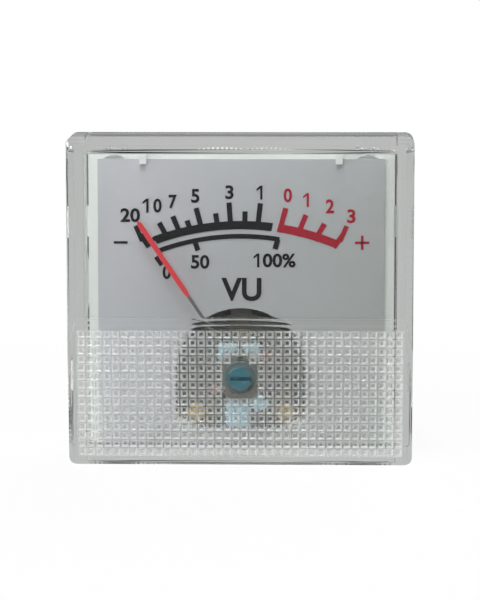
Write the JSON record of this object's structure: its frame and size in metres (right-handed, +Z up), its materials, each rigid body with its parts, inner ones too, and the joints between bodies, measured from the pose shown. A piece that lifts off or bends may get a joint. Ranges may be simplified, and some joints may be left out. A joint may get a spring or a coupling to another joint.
{
  "type": "analog vu meter",
  "caption": "Square panel meter with a moving-coil pointer behind a clear front, a round rear case, threaded studs and screw terminals.",
  "frame": {"origin": "centre of the round case in the plane that rests on the panel", "axes": "+X right seen from the front, +Y into the panel and along the round case, +Z up"},
  "size_m": [0.045, 0.0385, 0.0432],
  "materials": {
    "clear_acrylic": "clear moulded plastic, polished window, pressed texture below",
    "white_plastic": "moulded white plastic, satin",
    "dial_paint": "pale grey matt paint on thin sheet",
    "black_ink": "matt screen ink",
    "red_ink": "matt screen ink",
    "zinc_steel": "zinc plated",
    "nickel_brass": "nickel plated brass",
    "raw_brass": "machined brass",
    "soft_iron": "turned soft iron, nickel flash",
    "magnet_alloy": "ground sintered magnet",
    "moulded_black": "black moulded resin",
    "thin_aluminium": "thin pressed sheet",
    "enamelled_copper": "enamelled copper wire",
    "pointer_paint": "red paint on aluminium",
    "tempered_steel": "hardened and polished",
    "bronze_strip": "rolled phosphor bronze",
    "ruby": "polished synthetic stone",
    "blued_alloy": "pressed sheet, light blue finish",
    "adjuster_plastic": "grey green moulded plastic",
    "rubber_seal": "soft black rubber",
    "lead_insulation": "soft plastic insulation"
  },
  "bodies": {
    "meter": {"front_cover": "clear_acrylic", "rear_case": "white_plastic", "dial_plate": "dial_paint", "dial_screws": "zinc_steel", "scale_print_black": "black_ink", "scale_print_red": "red_ink", "movement_frame": "moulded_black", "frame_screws": "raw_brass", "yoke_ring": "soft_iron", "core_magnet": "magnet_alloy", "core_spacers": "raw_brass", "front_bridge": "nickel_brass", "rear_bridge": "nickel_brass", "front_posts": "raw_brass", "rear_posts": "raw_brass", "front_bridge_screws": "zinc_steel", "rear_bridge_screws": "zinc_steel", "front_jewel_screw": "raw_brass", "front_jewel": "ruby", "rear_jewel_screw": "raw_brass", "rear_jewel": "ruby", "jewel_locknut": "raw_brass", "friction_washer": "bronze_strip", "rear_abutment": "raw_brass", "pointer_stops": "tempered_steel", "rear_hairspring": "bronze_strip", "adjuster_seal": "rubber_seal", "terminal_studs": "nickel_brass", "terminal_washers": "nickel_brass", "solder_lugs": "nickel_brass", "terminal_nuts": "nickel_brass", "mounting_studs": "zinc_steel", "mounting_washers": "zinc_steel", "mounting_nuts": "zinc_steel", "front_lead": "lead_insulation", "rear_lead": "lead_insulation"},
    "pointer_movement": {"coil_former": "thin_aluminium", "coil_winding": "enamelled_copper", "front_staff": "tempered_steel", "rear_staff": "tempered_steel", "spring_collets": "raw_brass", "pointer_hub": "raw_brass", "balance_weights": "nickel_brass", "pointer": "pointer_paint"},
    "zero_lever_arm": {"zero_lever": "blued_alloy", "front_hairspring": "bronze_strip"},
    "adjuster": {"zero_adjuster": "adjuster_plastic"}
  },
  "joints": [
    {"name": "zero_adjuster_turn", "type": "hinge", "parent": "meter", "child": "adjuster", "pos_m": [0, 0, -0.0098], "axis": [0, 1, 0], "range_deg": [-4, 4]},
    {"name": "zero_lever_turn", "type": "hinge", "parent": "meter", "child": "zero_lever_arm", "pos_m": [0, 0, -0.0098], "axis": [0, 1, 0], "range_deg": [-4, 4]},
    {"name": "pointer_swing", "type": "hinge", "parent": "zero_lever_arm", "child": "pointer_movement", "pos_m": [0, 0, -0.0098], "axis": [0, 1, 0], "range_deg": [-3.5, 75.5], "stiffness_Nm_per_rad": 0.00005, "deforming": ["front_hairspring", "rear_hairspring"]}
  ],
  "couplings": [
    {"joint": "zero_lever_turn", "follows": "zero_adjuster_turn", "ratio": 1}
  ]
}
